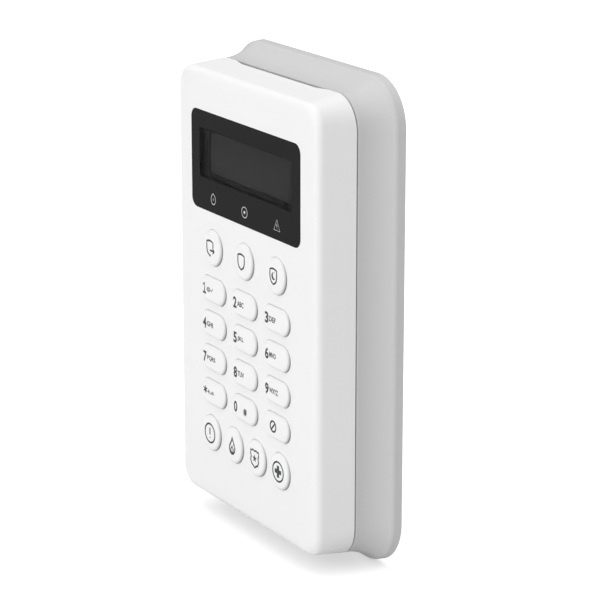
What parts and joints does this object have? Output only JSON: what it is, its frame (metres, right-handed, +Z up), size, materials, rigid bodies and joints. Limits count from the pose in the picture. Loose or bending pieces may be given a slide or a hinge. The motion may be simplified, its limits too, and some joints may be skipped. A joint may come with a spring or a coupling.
{
  "type": "alarm keypad panel",
  "caption": "Wall-mounted alarm keypad with a dark display window, sprung round and oval keys, and a front unit that tilts off its flared wall base.",
  "frame": {"origin": "centre of the wall base's back face, which lies on the wall", "axes": "+X to the right seen from the front, +Y into the wall, +Z up; the keys face -Y"},
  "size_m": [0.1172, 0.0352, 0.1878],
  "materials": {
    "white_housing": "fine moulded grain, satin white",
    "grey_housing": "fine moulded grain, a shade greyer than the cover",
    "white_key": "smooth satin white",
    "window": "smoked clear acrylic, polished",
    "window_print": "black print",
    "lcd": "dark display, switched off",
    "black_plastic": "moulded",
    "black_rubber": "matt",
    "light_guide": "milky clear",
    "led": "small packaged lamps",
    "silicone": "milky silicone",
    "circuit_board": "green solder mask",
    "component": "black moulded packages",
    "can_metal": "tinned and nickel plated",
    "steel": "zinc plated",
    "grey_plastic": "light moulded plastic",
    "cell_wrap": "plain shrink wrap"
  },
  "bodies": {
    "wall_base": {"wall_base": "grey_housing"},
    "front_unit": {"antenna": "can_metal", "battery_cell_1": "cell_wrap", "battery_cell_2": "cell_wrap", "battery_cell_3": "cell_wrap", "battery_cell_4": "cell_wrap", "battery_leaf_springs": "can_metal", "battery_plates": "can_metal", "board_screws": "steel", "capacitors": "can_metal", "chassis_screws": "steel", "contact_pills": "black_rubber", "display_window": "window", "front_cover": "white_housing", "hinge_pins": "steel", "keymat": "silicone", "lcd_backlight": "light_guide", "lcd_connector_strips": "black_rubber", "lcd_frame": "black_plastic", "lcd_glass": "lcd", "main_board": "circuit_board", "processor": "black_plastic", "radio_module": "circuit_board", "radio_shield": "can_metal", "rear_chassis": "grey_plastic", "resistors": "component", "sounder": "black_plastic", "status_leds": "led", "status_light_guide": "light_guide", "tamper_switch": "black_plastic", "terminal_block": "black_plastic", "terminal_screws": "steel", "window_mask": "window_print", "tamper_spring": "steel"},
    "key_0_cap": {"key_0": "white_key"},
    "key_1_cap": {"key_1": "white_key"},
    "key_2_cap": {"key_2": "white_key"},
    "key_3_cap": {"key_3": "white_key"},
    "key_4_cap": {"key_4": "white_key"},
    "key_5_cap": {"key_5": "white_key"},
    "key_6_cap": {"key_6": "white_key"},
    "key_7_cap": {"key_7": "white_key"},
    "key_8_cap": {"key_8": "white_key"},
    "key_9_cap": {"key_9": "white_key"},
    "key_alert_cap": {"key_alert": "white_key"},
    "key_away_cap": {"key_away": "white_key"},
    "key_clear_cap": {"key_clear": "white_key"},
    "key_fire_cap": {"key_fire": "white_key"},
    "key_medical_cap": {"key_medical": "white_key"},
    "key_night_cap": {"key_night": "white_key"},
    "key_police_cap": {"key_police": "white_key"},
    "key_star_cap": {"key_star": "white_key"},
    "key_stay_cap": {"key_stay": "white_key"},
    "tamper": {"tamper_plunger": "grey_plastic"}
  },
  "joints": [
    {"name": "front_tilt", "type": "hinge", "parent": "wall_base", "child": "front_unit", "pos_m": [0, -0.0189, -0.08675], "axis": [1, 0, 0], "range_deg": [0, 18]},
    {"name": "key_0_press", "type": "slide", "parent": "front_unit", "child": "key_0_cap", "axis": [0, 1, 0], "range_m": [0, 0.0012], "stiffness_N_per_m": 700, "springref_m": -0.0004, "deforming": ["keymat"]},
    {"name": "key_1_press", "type": "slide", "parent": "front_unit", "child": "key_1_cap", "axis": [0, 1, 0], "range_m": [0, 0.0012], "stiffness_N_per_m": 700, "springref_m": -0.0004, "deforming": ["keymat"]},
    {"name": "key_2_press", "type": "slide", "parent": "front_unit", "child": "key_2_cap", "axis": [0, 1, 0], "range_m": [0, 0.0012], "stiffness_N_per_m": 700, "springref_m": -0.0004, "deforming": ["keymat"]},
    {"name": "key_3_press", "type": "slide", "parent": "front_unit", "child": "key_3_cap", "axis": [0, 1, 0], "range_m": [0, 0.0012], "stiffness_N_per_m": 700, "springref_m": -0.0004, "deforming": ["keymat"]},
    {"name": "key_4_press", "type": "slide", "parent": "front_unit", "child": "key_4_cap", "axis": [0, 1, 0], "range_m": [0, 0.0012], "stiffness_N_per_m": 700, "springref_m": -0.0004, "deforming": ["keymat"]},
    {"name": "key_5_press", "type": "slide", "parent": "front_unit", "child": "key_5_cap", "axis": [0, 1, 0], "range_m": [0, 0.0012], "stiffness_N_per_m": 700, "springref_m": -0.0004, "deforming": ["keymat"]},
    {"name": "key_6_press", "type": "slide", "parent": "front_unit", "child": "key_6_cap", "axis": [0, 1, 0], "range_m": [0, 0.0012], "stiffness_N_per_m": 700, "springref_m": -0.0004, "deforming": ["keymat"]},
    {"name": "key_7_press", "type": "slide", "parent": "front_unit", "child": "key_7_cap", "axis": [0, 1, 0], "range_m": [0, 0.0012], "stiffness_N_per_m": 700, "springref_m": -0.0004, "deforming": ["keymat"]},
    {"name": "key_8_press", "type": "slide", "parent": "front_unit", "child": "key_8_cap", "axis": [0, 1, 0], "range_m": [0, 0.0012], "stiffness_N_per_m": 700, "springref_m": -0.0004, "deforming": ["keymat"]},
    {"name": "key_9_press", "type": "slide", "parent": "front_unit", "child": "key_9_cap", "axis": [0, 1, 0], "range_m": [0, 0.0012], "stiffness_N_per_m": 700, "springref_m": -0.0004, "deforming": ["keymat"]},
    {"name": "key_alert_press", "type": "slide", "parent": "front_unit", "child": "key_alert_cap", "axis": [0, 1, 0], "range_m": [0, 0.0012], "stiffness_N_per_m": 700, "springref_m": -0.0004, "deforming": ["keymat"]},
    {"name": "key_away_press", "type": "slide", "parent": "front_unit", "child": "key_away_cap", "axis": [0, 1, 0], "range_m": [0, 0.0012], "stiffness_N_per_m": 700, "springref_m": -0.0004, "deforming": ["keymat"]},
    {"name": "key_clear_press", "type": "slide", "parent": "front_unit", "child": "key_clear_cap", "axis": [0, 1, 0], "range_m": [0, 0.0012], "stiffness_N_per_m": 700, "springref_m": -0.0004, "deforming": ["keymat"]},
    {"name": "key_fire_press", "type": "slide", "parent": "front_unit", "child": "key_fire_cap", "axis": [0, 1, 0], "range_m": [0, 0.0012], "stiffness_N_per_m": 700, "springref_m": -0.0004, "deforming": ["keymat"]},
    {"name": "key_medical_press", "type": "slide", "parent": "front_unit", "child": "key_medical_cap", "axis": [0, 1, 0], "range_m": [0, 0.0012], "stiffness_N_per_m": 700, "springref_m": -0.0004, "deforming": ["keymat"]},
    {"name": "key_night_press", "type": "slide", "parent": "front_unit", "child": "key_night_cap", "axis": [0, 1, 0], "range_m": [0, 0.0012], "stiffness_N_per_m": 700, "springref_m": -0.0004, "deforming": ["keymat"]},
    {"name": "key_police_press", "type": "slide", "parent": "front_unit", "child": "key_police_cap", "axis": [0, 1, 0], "range_m": [0, 0.0012], "stiffness_N_per_m": 700, "springref_m": -0.0004, "deforming": ["keymat"]},
    {"name": "key_star_press", "type": "slide", "parent": "front_unit", "child": "key_star_cap", "axis": [0, 1, 0], "range_m": [0, 0.0012], "stiffness_N_per_m": 700, "springref_m": -0.0004, "deforming": ["keymat"]},
    {"name": "key_stay_press", "type": "slide", "parent": "front_unit", "child": "key_stay_cap", "axis": [0, 1, 0], "range_m": [0, 0.0012], "stiffness_N_per_m": 700, "springref_m": -0.0004, "deforming": ["keymat"]},
    {"name": "tamper_slide", "type": "slide", "parent": "front_unit", "child": "tamper", "axis": [0, 1, 0], "range_m": [0, 0.0015], "deforming": ["tamper_spring"]}
  ],
  "couplings": [
    {"joint": "tamper_slide", "follows": "front_tilt", "m_per_rad": 0.004743}
  ]
}
